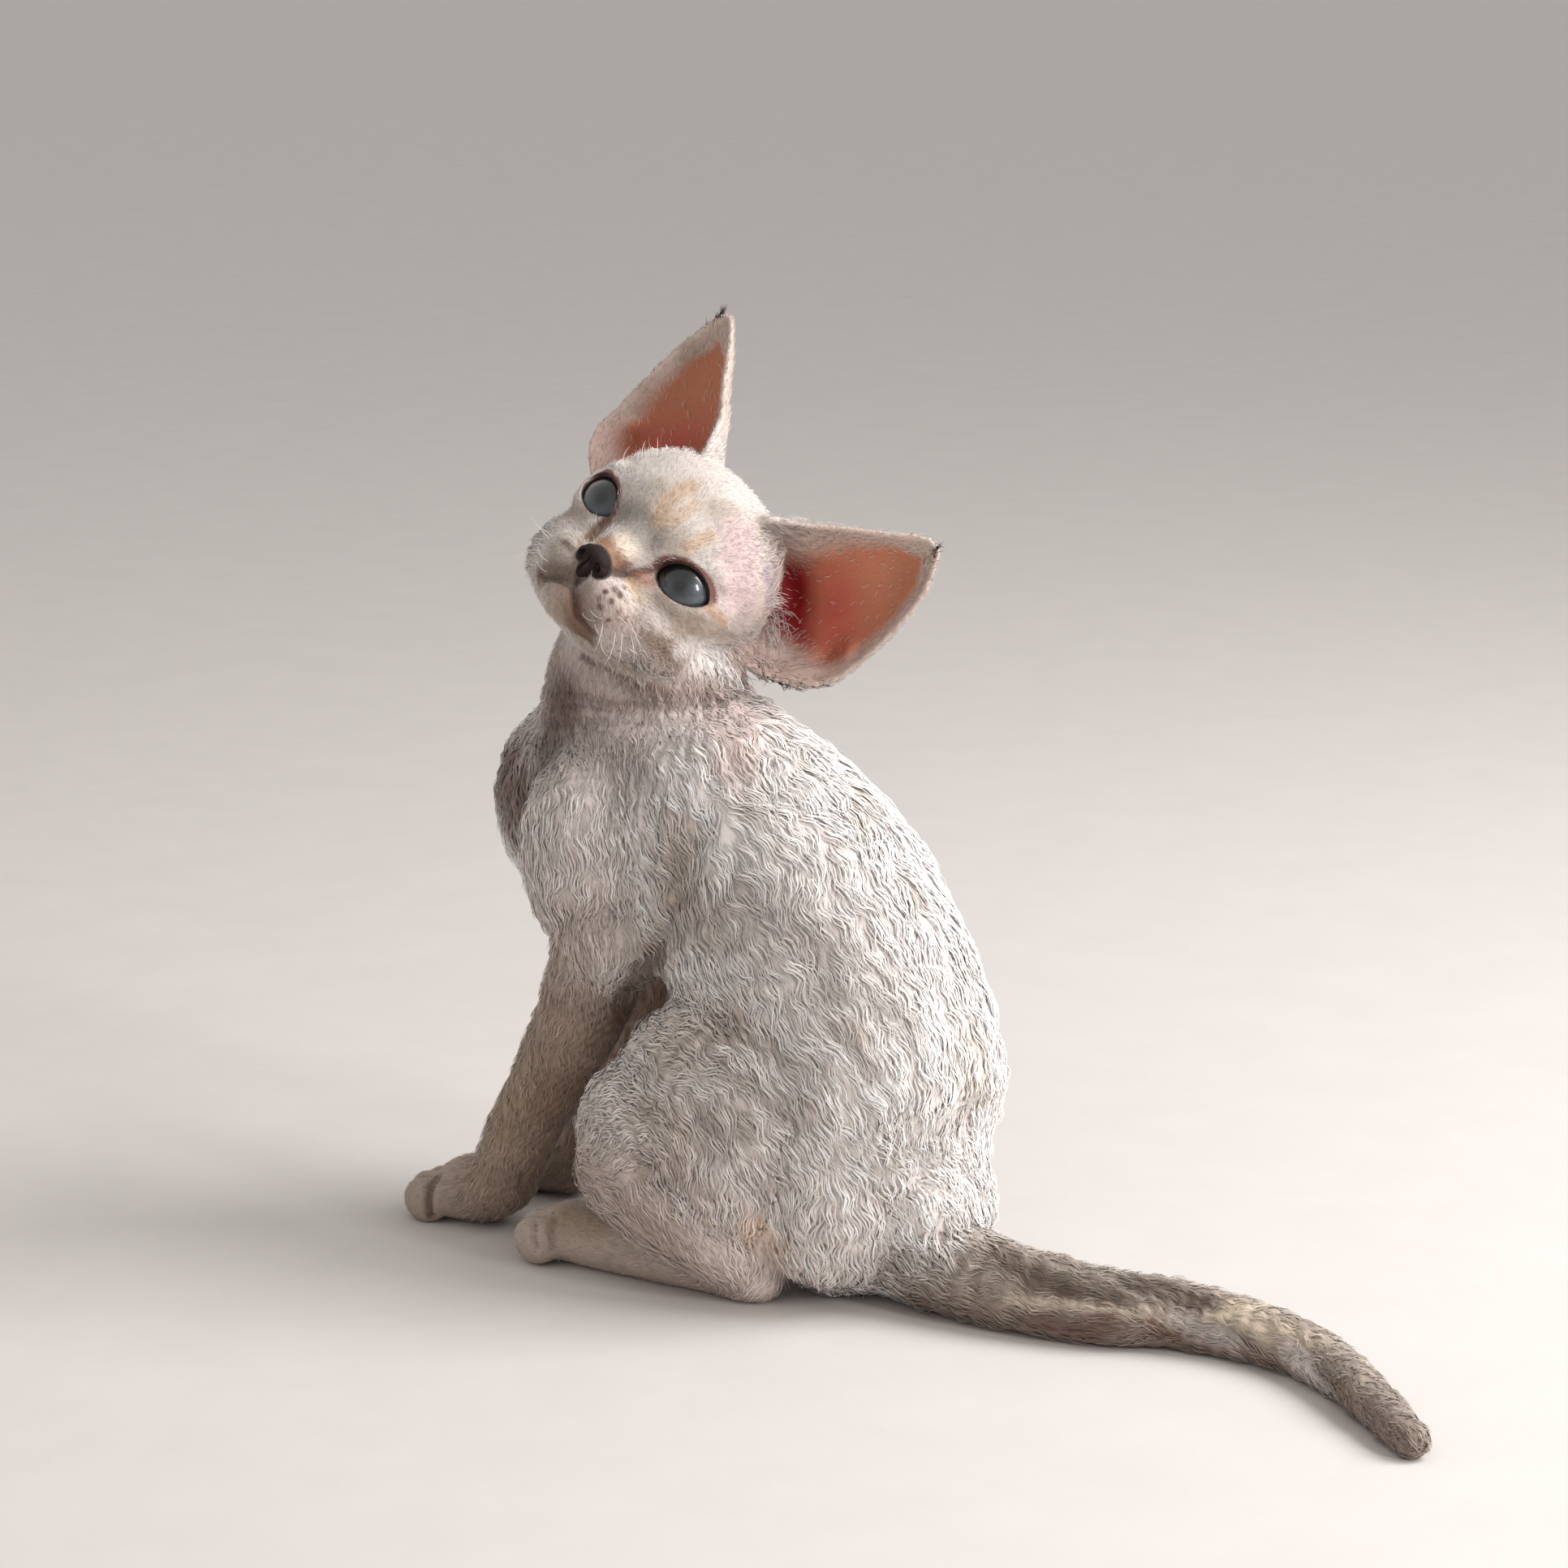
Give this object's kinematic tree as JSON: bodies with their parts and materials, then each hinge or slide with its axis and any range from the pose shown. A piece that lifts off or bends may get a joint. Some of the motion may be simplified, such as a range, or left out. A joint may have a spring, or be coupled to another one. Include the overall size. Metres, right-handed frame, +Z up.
{
  "type": "devon rex cat",
  "caption": "Still, life-size model of a sitting Devon Rex kitten that looks back over its left shoulder, its tail laid out behind it.",
  "frame": {"origin": "middle of the underside of the model's bounding box, on the floor", "axes": "+Y towards the tail's tip, +X towards the kitten's left, +Z up"},
  "size_m": [0.0926, 0.293, 0.2263],
  "materials": {
    "coat": "curly cream-white coat",
    "coat_dark": "short grey-beige coat",
    "ear_skin": "thin pink skin",
    "nose_leather": "moist dark skin",
    "eye": "wet and glossy"
  },
  "bodies": {
    "root": {"head": "coat", "ear_left": "ear_skin", "ear_right": "ear_skin", "eye_left": "eye", "eye_right": "eye", "nose": "nose_leather", "neck": "coat", "chest": "coat", "torso": "coat", "upperarm_left": "coat", "upperarm_right": "coat", "foreleg_left": "coat", "foreleg_right": "coat", "forepaw_left": "coat_dark", "forepaw_right": "coat_dark", "thigh_left": "coat", "thigh_right": "coat", "hindfoot_left": "coat_dark", "hindfoot_right": "coat_dark", "tail_base": "coat_dark", "tail_middle": "coat_dark", "tail_tip": "coat_dark"}
  },
  "joints": []
}
